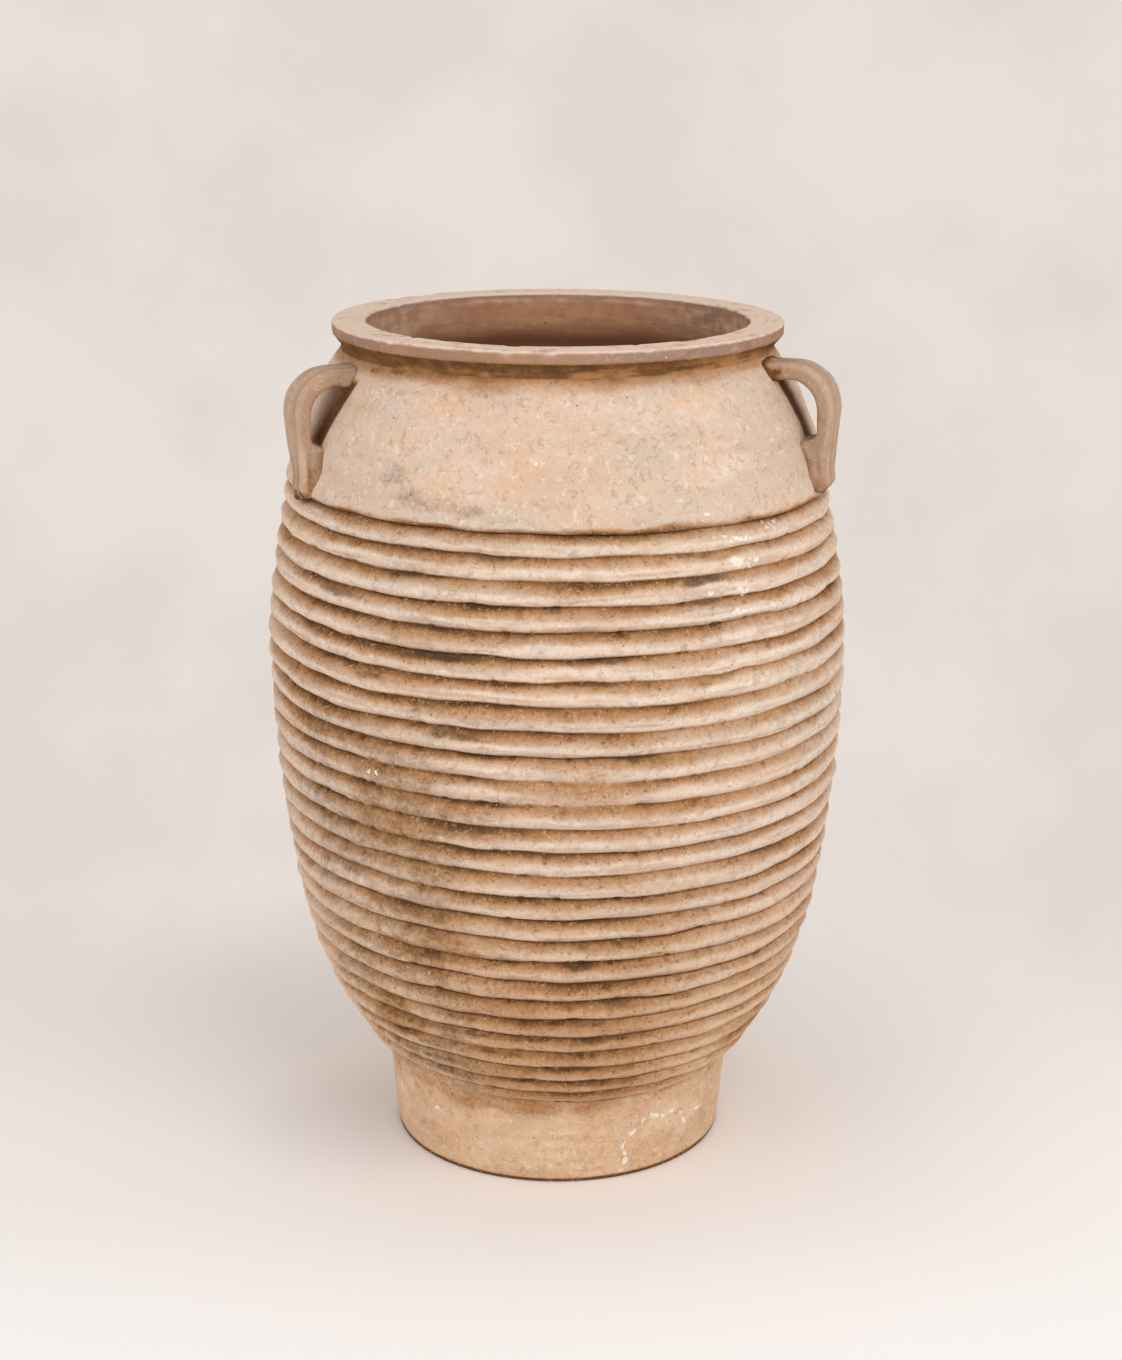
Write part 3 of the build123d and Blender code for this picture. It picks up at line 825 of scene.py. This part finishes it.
shoulder_grid += outwards(shoulder_grid) * (smear + neck_nose)[..., None]
shoulder_grid[..., 2] += shoulder_lift
shoulder_course = clay_mesh("shoulder_course_clay", shoulder_grid, shoulder_marks)
shoulder_course.data.materials.append(body_clay)
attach(shoulder_course, "root")
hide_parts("shoulder_course")

# Rim lip: a thick flat-topped band of the same clay, fired pinker, laid on the neck and pressed outwards.
# Its underside slopes back to the neck, its top is wiped flat, and its edges are worn and chipped.
jar_height = 0.800
rim_radius = 0.2086
lip_neck = 0.0035
lip_slope = 0.0094
lip_outer_round = 0.002
lip_inner_round = 0.003
lip_columns = 960
lip_edge_cut = 0.0007
lip_tilt = 0.0050


def arc(centre, radius, start, end, count):
    """Points on a turn about a centre, from one angle in degrees up to another, without the last."""
    angle = np.radians(np.linspace(start, end, count, endpoint=False))
    return np.array(centre) + radius * np.stack([np.cos(angle), np.sin(angle)], axis=-1)


lip_clay = clay_finish(
    "lip_clay",
    buff=tone(166, 130, 106),
    blush=tone(160, 123, 101),
    ash=tone(146, 125, 117),
    pale=tone(231, 205, 185),
    mottling=0.35,
)
lip_face_low = neck_height + lip_neck + lip_slope
lip_outer_turn = (rim_radius - lip_outer_round, jar_height - lip_outer_round)
lip_inner_turn = (bore_radius + lip_inner_round, jar_height - lip_inner_round)
lip_under_corner = (neck_radius, neck_height + lip_neck)
lip_cut_low = (rim_radius - lip_edge_cut, lip_face_low)
lip_line = np.concatenate(
    [
        run((neck_radius, neck_height), lip_under_corner, lip_cut_low, step=0.0012),
        run((rim_radius, lip_face_low + lip_edge_cut), (rim_radius, lip_outer_turn[1]), step=0.0012),
        arc(lip_outer_turn, lip_outer_round, 0, 90, count=5),
        run((lip_outer_turn[0], jar_height), (lip_inner_turn[0], jar_height), step=0.0014),
        arc(lip_inner_turn, lip_inner_round, 90, 180, count=5),
        run((bore_radius, lip_inner_turn[1]), (bore_radius, neck_height), step=0.0016),
    ]
)
lip_seat = tongue(neck_radius, bore_radius, neck_height, lute_gap)[::-1][:-1]
lip_profile = np.concatenate([lip_line, lip_seat])
lip_length = np.cumsum(np.hypot(*np.diff(lip_profile, axis=0, prepend=lip_profile[:1]).T))[:, None]
lip_grid = turned(*lip_profile.T, lip_columns)
lip_level = lip_grid[..., 2]
lip_azimuth = azimuth_of(lip_grid)
lip_shows = np.arange(len(lip_grid))[:, None] < len(lip_line)
lip_free = lip_shows * ease(0.0, 0.004, lip_level - neck_height)
lip_side = np.sign(lip_profile[:, 0] - (rim_radius + bore_radius) / 2)[:, None]
outer_edge = np.hypot(lip_profile[:, 0] - rim_radius, lip_profile[:, 1] - jar_height)
inner_edge = np.hypot(lip_profile[:, 0] - bore_radius, lip_profile[:, 1] - jar_height)
lip_edge = ease(0.008, 0.001, np.minimum(outer_edge, inner_edge))[:, None]
chips = 0.25 * ease(0.55, 0.90, clay_noise(lip_grid, (0.011, 0.011, 0.009), 40, 2)) * lip_edge
chips += 0.6 * ease(0.74, 0.92, clay_noise(lip_grid, (0.030, 0.030, 0.02), 41, 2)) * lip_edge
chip_places = [(-44, 0.800, 1.5, 0.005, 0.7), (-12, 0.799, 1.8, 0.006, 0.7), (22, 0.800, 1.4, 0.005, 0.6)]
chips += patches(lip_grid, chip_places, 42) * lip_edge
lip_swing = 0.0010 * clay_noise(lip_grid, (0.14, 0.14, 0.05), 43, 2)
lip_swing += 0.0003 * clay_noise(lip_grid, 0.012, 44, 3)
lip_sag = 0.0009 - lip_tilt * lip_grid[..., 0] + 0.0007 * clay_noise(lip_grid * (1, 1, 0), 0.12, 45, 2)
lip_under = ease(lip_face_low + 0.0012, lip_face_low - 0.0010, lip_level) * (lip_side > 0)
lip_bore = (lip_side < 0) * ease(jar_height - 0.001, jar_height - 0.012, lip_level)
lip_flat = ease(jar_height - 0.0030, jar_height - 0.0005, lip_level)
lip_patchy = ease(0.1, 0.8, clay_noise(lip_grid, (0.035, 0.035, 0.012), 46, 3))
lip_streak = drawn_noise(lip_grid, lip_length, 0.004, 47)
# The flat top is worn pale and, as painted highlight, made paler still where it faces up to the light, a
# little less at the front.
lip_top_wear_and_highlight = 1.7 + 0.8 * ease(25, 75, np.abs(lip_azimuth - 10))
lip_deep = ease(neck_height, neck_height + 0.011, lip_level)
lip_right = ease(0, 25, lip_azimuth) * facing(lip_azimuth)
# Soil and painted shadow under the lip: the underside and the neck go dark brown, darkest just below the
# face's lower edge and a little lighter on the right.
lip_soil_and_shadow = (0.68 + 0.40 * lip_deep) * (1 - 0.25 * lip_right) * lip_under
lip_foot = ease(lip_face_low + 0.005, lip_face_low, lip_level) * (lip_side > 0)
lip_foot *= ease(-0.5, 0.6, clay_noise(lip_grid, (0.03, 0.03, 0.006), 49, 3))
lip_dust = 0.12 * clay_noise(lip_grid, 0.03, 48, 3)
lip_stain = 0.40 * lip_patchy * (1 - 0.8 * lip_flat)
lip_marks = {
    "soil_and_shade": lip_shows * np.clip(lip_soil_and_shadow + 0.5 * lip_foot + lip_dust, 0, 1),
    "crest": lip_shows * (lip_top_wear_and_highlight * lip_flat + 0.7 * chips),
    # Under the lip the dark stain layer adds to the painted shadow.
    "stain_and_shade": lip_shows * np.maximum(lip_stain, 0.5 * lip_under * lip_deep),
    "streak": lip_shows * lip_streak * 0.25,
    # Inside the bore, painted shade darkens the far wall.
    "inside": lip_bore * (1 + far_side(lip_azimuth)),
}
lip_grid += outwards(lip_grid) * (lip_free * (lip_swing - 0.0014 * chips * lip_side))[..., None]
lip_grid[..., 2] += lip_free * (lip_sag - 0.0012 * chips)
rim_lip = clay_mesh("rim_lip_clay", lip_grid, lip_marks)
rim_lip.data.materials.append(lip_clay)
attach(rim_lip, "root")
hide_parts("rim_lip")

# Handles: two straps of the same clay, pulled by hand, so finger grooves run down their outer faces.
# Each is luted on below the lip, bends down over a finger gap, and is pressed on again with a thumb above
# the ribs, where the clay was smeared out over the shoulder. They were set on by eye, so the two differ.
handle_bend = 0.040
strap_lean = 4.0
strap_height = 0.016
strap_thickness = 0.016
strap_half = 0.021
root_half = 0.015
gap_height = 0.053
gap_bend = 0.026
gap_crotch = 0.009
root_bottom = 0.6575
root_round = 0.008
strap_columns = 144
smear_reach = 0.009
smear_height = 0.0045
bulge_level = 1.09
section_power = 0.5
finger_depth = 0.0012
finger_spread = 0.0075
finger_width = 0.0032
finger_bottom = 0.658
finger_full = 0.664
root_start = 0.700
root_full = 0.675
lump_middle = 0.6665
lump_half = 0.006
lump_rise = 0.0022

handle_clay = clay_finish(
    "handle_clay",
    buff=tone(178, 147, 123),
    blush=tone(175, 142, 118),
    ash=tone(160, 137, 119),
    pale=tone(216, 188, 165),
    mottling=0.4,
)


def spaced(points, count):
    """The line through the given points again, as so many evenly spaced ones, without the last."""
    points = np.array(points)
    length = np.append(0.0, np.cumsum(np.hypot(*np.diff(points, axis=0).T)))
    place = np.linspace(0, length[-1], count, endpoint=False)
    return np.stack([np.interp(place, length, side) for side in points.T], axis=-1)


def shoulder_at(height):
    """Radius of the shoulder's outside at a height: straight from its lower edge to the neck, plus the
    bulge, which stands square to the slope and so reaches a little further when measured level."""
    t = np.clip((height - low_edge[1]) / (neck_height - low_edge[1]), 0, 1)
    straight = shoulder_radius + (neck_radius - shoulder_radius) * t
    return straight + bulge_level * shoulder_bulge * 4 * t * (1 - t)


def strap_lines(reach, top, joint_swell):
    """Outer and inner line of a handle's side view, matched in four stretches: level from the neck, round
    the bend, down the strap, and over the crotch or the thumbed end into the shoulder."""
    lean = np.radians(strap_lean)
    bend_centre = np.array([reach - handle_bend, top - handle_bend])
    bend_end = bend_centre + handle_bend * np.array([np.cos(lean), -np.sin(lean)])
    gap_top, gap_reach = top - strap_height, reach - strap_thickness
    gap_bottom, gap_side = gap_top - gap_height, gap_reach - gap_crotch
    gap_centre = (gap_reach - gap_bend, gap_top - gap_bend)
    root_top = root_bottom + root_round * (1 - np.sin(lean))
    falls = np.array([[bend_end[1] - gap_bottom], [bend_end[1] - root_top]])
    strap_low, root_end = bend_end - falls * [np.tan(lean), 1.0]
    root_centre = root_end - root_round * np.array([np.cos(lean), -np.sin(lean)])
    buried = neck_radius - 0.010
    root_arc = arc(root_centre, root_round, -strap_lean, -90, 12)
    crotch_arc = arc((gap_side, gap_bottom + gap_crotch), gap_crotch, 0, -90, 12)
    root_inside = (shoulder_at(root_bottom) - 0.004, root_bottom)
    crotch_inside = (shoulder_at(gap_bottom) - 0.006, gap_bottom - 0.003)
    tail_inside = (shoulder_at(root_bottom) - 0.007, root_bottom + 0.004)
    outer = [
        [(buried, top), (bend_centre[0], top)],
        [*arc(bend_centre, handle_bend, 90, -strap_lean, 40), bend_end],
        [bend_end, strap_low],
        [strap_low, *root_arc, (root_centre[0], root_bottom), root_inside],
    ]
    inner = [
        [(buried, gap_top - joint_swell), (gap_centre[0], gap_top)],
        [*arc(gap_centre, gap_bend, 90, 0, 40), (gap_reach, gap_centre[1])],
        [(gap_reach, gap_centre[1]), *crotch_arc, (gap_side, gap_bottom)],
        [(gap_side, gap_bottom), crotch_inside, tail_inside],
    ]
    rows = (44, 60, 56, 76)
    outer, inner = ([spaced(leg, n) for leg, n in zip(line, rows)] for line in (outer, inner))
    return np.concatenate(outer), np.concatenate(inner)


def strap(turn, reach, top, joint_swell, root_depth, root_shift, smearing, grime, seed):
    """A handle, with its marks: a rounded oblong section, a power of |cos| thick by the same power of |sin|
    wide, carried between an outer and an inner line. Two finger grooves are pressed into its outer face and
    draw together at the root. Near the shoulder the skin is pushed out by the square of how near it is, as
    smeared clay. The whole is turned about the jar's axis by an angle in degrees."""
    outer, inner = strap_lines(reach, top, joint_swell)
    way = np.linspace(0, 1, len(outer))[:, None]
    bend_height = top - handle_bend
    narrowing = np.clip((outer[:, 1:] - root_bottom) / (bend_height - root_bottom), 0, 1)
    half = root_half + (strap_half - root_half) * narrowing
    half = half * (0.80 + 0.20 * ease(root_bottom - 0.001, root_bottom + root_round, outer[:, 1:]))
    around = np.linspace(0, 2 * np.pi, strap_columns, endpoint=False)
    thick = np.sign(np.cos(around)) * np.abs(np.cos(around)) ** section_power
    wide = np.sign(np.sin(around)) * np.abs(np.sin(around)) ** section_power
    middle, reach_half = (outer + inner) / 2, (outer - inner) / 2
    rooted = ease(root_start, root_full, outer[:, 1:])
    grooved = ease(finger_bottom, finger_full, outer[:, 1:])
    across = half * wide
    lean = reach_half / np.linalg.norm(reach_half, axis=1, keepdims=True)
    face = ease(0.2, 0.8, thick) * ease(0.02, 0.12, way)
    spread = finger_spread - 0.0030 * rooted
    grooves = np.exp(-(((np.abs(across) - spread) / (finger_width - 0.0008 * rooted)) ** 2))
    pressed = (finger_depth + (root_depth - finger_depth) * rooted) * grooves * face * grooved
    flank_lines = np.exp(-(((np.abs(thick + 0.05) - 0.32) / 0.15) ** 2)) * ease(0.75, 0.97, np.abs(wide))
    flank_lines = flank_lines * rooted * grooved
    lump = lump_rise * np.exp(-(((outer[:, 1:] - lump_middle) / lump_half) ** 2)) * face
    section = middle[:, None, :] + reach_half[:, None, :] * thick[None, :, None]
    section = section + (lump - pressed)[..., None] * lean[:, None, :]
    squeezed = across * (1 - 40 * root_depth * flank_lines)
    grid = np.stack([section[..., 0], squeezed + root_shift * rooted, section[..., 1]], axis=-1)
    centre = np.stack([middle[:, 0], 0 * middle[:, 0], middle[:, 1]], axis=-1)[:, None, :]
    out = grid - centre
    out /= np.linalg.norm(out, axis=-1, keepdims=True)
    height_off = np.hypot(grid[..., 0], grid[..., 1]) - shoulder_at(grid[..., 2])
    smeared = smear_height * np.clip(1 - height_off / smear_reach, 0, 1) ** 2
    smeared *= 0.35 + (smearing - 0.35) * ease(0.735, 0.715, grid[..., 2])
    smeared *= 1 + 0.4 * clay_noise(grid, 0.014, seed, 2)
    worn = 0.0010 * clay_noise(grid, 0.030, seed + 1, 2) + 0.0003 * clay_noise(grid, 0.008, seed + 2, 2)
    worn -= 0.0008 * ease(0.55, 0.9, clay_noise(grid, 0.009, seed + 3, 2))
    drawn = np.stack([across, 0 * across, way * 0.06 + 0 * across], axis=-1)
    streak = clay_noise(drawn, (0.004, 1.0, 0.03), seed + 4, 2)
    joint = ease(0.006, 0.0, height_off - smeared + 0.004 * clay_noise(grid, 0.012, seed + 5, 2))
    in_groove = grooves * face * rooted + 0.8 * flank_lines
    # Painted shadow under the thumbed lump at the root's end, on its outer side.
    shadow_under_lump = ease(0.664, 0.659, outer[:, 1:]) * ease(-0.2, 0.6, thick)
    patchy = ease(0.2, 0.8, clay_noise(grid, 0.028, seed + 6, 3))
    top_joint = ease(0.016, 0.004, height_off + 0.008 * clay_noise(grid, 0.010, seed + 8, 3))
    top_joint *= ease(0.742, 0.752, grid[..., 2]) * (1 - 0.6 * face)
    flank = (1 - face) * ease(-0.5, 0.7, clay_noise(grid, 0.035, seed + 9, 2))
    grid = grid + out * (smeared + worn + 0.0003 * streak * face)[..., None]
    soil_and_shade = 0.12 * joint + 0.9 * in_groove * (root_depth / 0.0035) + 0.6 * shadow_under_lump
    marks = {
        "soil_and_shade": np.clip(soil_and_shade + grime * (1.1 * top_joint + 0.35 * flank), 0, 1.1),
        "crest": face * (0.55 - 0.3 * grooves) * ease(-0.4, 0.4, streak + 0.5),
        "stain_and_shade": np.maximum(0.42 * patchy * (1 - 0.5 * face), 0.50 * joint),
        "crust": 0.34 * ease(0.5, 0.9, clay_noise(grid, 0.02, seed + 7, 3)) * rooted,
        "streak": streak * 0.9,
    }
    turn = np.radians(turn)
    x, y = grid[..., 0], grid[..., 1]
    spun = [x * np.cos(turn) - y * np.sin(turn), x * np.sin(turn) + y * np.cos(turn), grid[..., 2]]
    return np.stack(spun, axis=-1), marks


handle_settings = {
    "left": {
        "turn": 205.0,
        "reach": 0.26425,
        "top": 0.770,
        "joint_swell": 0.008,
        "root_depth": 0.0031,
        "root_shift": 0.005,
        "smearing": 1.7,
        "grime": 0.1,
        "seed": 50,
    },
    "right": {
        "turn": -20.0,
        "reach": 0.26825,
        "top": 0.773,
        "joint_swell": 0.003,
        "root_depth": 0.0018,
        "root_shift": 0.0,
        "smearing": 1.0,
        "grime": 1.0,
        "seed": 60,
    },
}
for side, setting in handle_settings.items():
    handle_grid, handle_marks = strap(**setting)
    handle = clay_mesh(f"{side}_handle_clay", handle_grid, handle_marks, drawn_together=True)
    handle.data.materials.append(handle_clay)
    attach(handle, "root")
    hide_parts(f"{side}_handle")

# Stage: a wide pale floor that takes the jar's shadow, with a greyer patch just left of the foot painted in
# as extra shadow. Away from the jar it fades, for the eye alone, into the tone of the room behind, so that
# the jar stands clear from every side.
stage_half = 9.0
stage_middle = (0, -0.5, 0)
shade_middle = (-0.19, -0.03, 0)
stage_corners = [(-stage_half, -stage_half, 0), (stage_half, -stage_half, 0)]
stage_corners += [(stage_half, stage_half, 0), (-stage_half, stage_half, 0)]
stage_mesh = bpy.data.meshes.new("stage_floor")
stage_mesh.from_pydata(stage_corners, [], [(0, 1, 2, 3)])
stage_floor = bpy.data.objects.new("stage_floor", stage_mesh)
bpy.context.scene.collection.objects.link(stage_floor)
stage_paint = bpy.data.materials.new("stage_paint")
stage_paint.use_nodes = True
stage_nodes = stage_paint.node_tree.nodes
stage_shader = stage_nodes["Principled BSDF"]
stage_place = Wire(stage_nodes.new("ShaderNodeTexCoord").outputs["Object"])
stage_side, stage_depth = (stage_place.node("SeparateXYZ", {}, {"Vector": stage_place}, a) for a in "XY")
stage_away, from_shade = (
    stage_place.node("VectorMath", {"operation": "DISTANCE"}, {0: stage_place, 1: middle}, "Value")
    for middle in (stage_middle, shade_middle)
)


def seen(wire):
    """1 for what is seen straight, in a shine or through glass, and 0 for light that falls on things."""
    kinds = ("Camera", "Glossy", "Transmission")
    rays = [wire.node("LightPath", {}, {}, f"Is {kind} Ray") for kind in kinds]
    return rays[0].math("MAXIMUM", rays[0], rays[1].math("MAXIMUM", rays[1], rays[2]))


floor_tone = blend(fade(stage_side, 0.25, 0.60), tone(249, 244, 241), tone(255, 251, 248))
floor_tone = blend(fade(stage_depth, -0.15, -0.45), floor_tone, tone(255, 252, 251))
# Painted shadow: a greyer patch on the floor just left of the foot.
floor_tone = blend(fade(from_shade, 0.17, 0.03) * 0.9, floor_tone, tone(235, 232, 232))
stage_paint.node_tree.links.new(floor_tone.socket, stage_shader.inputs["Base Color"])
stage_shader.inputs["Roughness"].default_value = 0.95
stage_shader.inputs["Specular IOR Level"].default_value = 0.1
gone = stage_place.node("BsdfTransparent", {}, {}, "BSDF")
fading = fade(stage_away, 0.80, 1.25) * seen(stage_place)
faded = fading.node("MixShader", {}, {0: fading, 1: Wire(stage_shader.outputs["BSDF"]), 2: gone})
stage_paint.node_tree.links.new(faded.socket, stage_nodes["Material Output"].inputs["Surface"])
stage_mesh.materials.append(stage_paint)


# Light: a large soft box above the front right, a weaker one on the left, and even light from all round.
# The eye sees the room behind in one pale tone with faint clouds in it.
def soft_box(name, place, aim, size, power):
    """A square lamp at a place, turned to face a point."""
    lamp = bpy.data.lights.new(name, "AREA")
    lamp.shape = "SQUARE"
    lamp.size = size
    lamp.energy = power
    box = bpy.data.objects.new(name, lamp)
    bpy.context.scene.collection.objects.link(box)
    box.location = place
    back = np.array(place) - np.array(aim)
    heading = np.arctan2(back[0], -back[1])
    box.rotation_euler = (np.arccos(back[2] / np.linalg.norm(back)), 0.0, heading)


jar_middle = (0, 0, 0.4)
soft_box("key_light", (1.45, -2.25, 2.4), jar_middle, size=2.4, power=42)
soft_box("fill_light", (-2.2, -1.8, 1.6), jar_middle, size=2.2, power=18)
world = bpy.data.worlds.new("soft_room")
world.use_nodes = True
room_nodes = world.node_tree.nodes
room_light = Wire(room_nodes["Background"].outputs["Background"])
room_nodes["Background"].inputs["Color"].default_value = tone(252, 250, 247)
room_nodes["Background"].inputs["Strength"].default_value = 0.66
gaze = Wire(room_nodes.new("ShaderNodeTexCoord").outputs["Generated"])
clouds = gaze.node("TexNoise", {}, {"Vector": gaze, "Scale": 11.0, "Detail": 6.0})
room_tone = blend(fade(clouds, 0.34, 0.60), tone(224, 215, 207), tone(231, 223, 216))
room_look = gaze.node("Background", {}, {"Color": room_tone})
room = room_light.node("MixShader", {}, {0: seen(room_light), 1: room_light, 2: room_look})
world.node_tree.links.new(room.socket, room_nodes["World Output"].inputs["Surface"])
bpy.context.scene.world = world
bpy.context.scene.view_settings.view_transform = "Standard"

# Camera: at the photograph's viewing angle, a little above the rim and looking down at the belly.
photo_height = 1360
focal_pixels = 2517.6
camera_dip = 0.2799
camera_data = bpy.data.cameras.new("camera")
camera_data.sensor_width = 36.0
camera_data.lens = camera_data.sensor_width * focal_pixels / photo_height
camera = bpy.data.objects.new("camera", camera_data)
bpy.context.scene.collection.objects.link(camera)
camera.location = (0.0033, -2.3315, 1.1218)
camera.rotation_euler = (np.pi / 2 - camera_dip, 0.0, 0.0)
bpy.context.scene.camera = camera
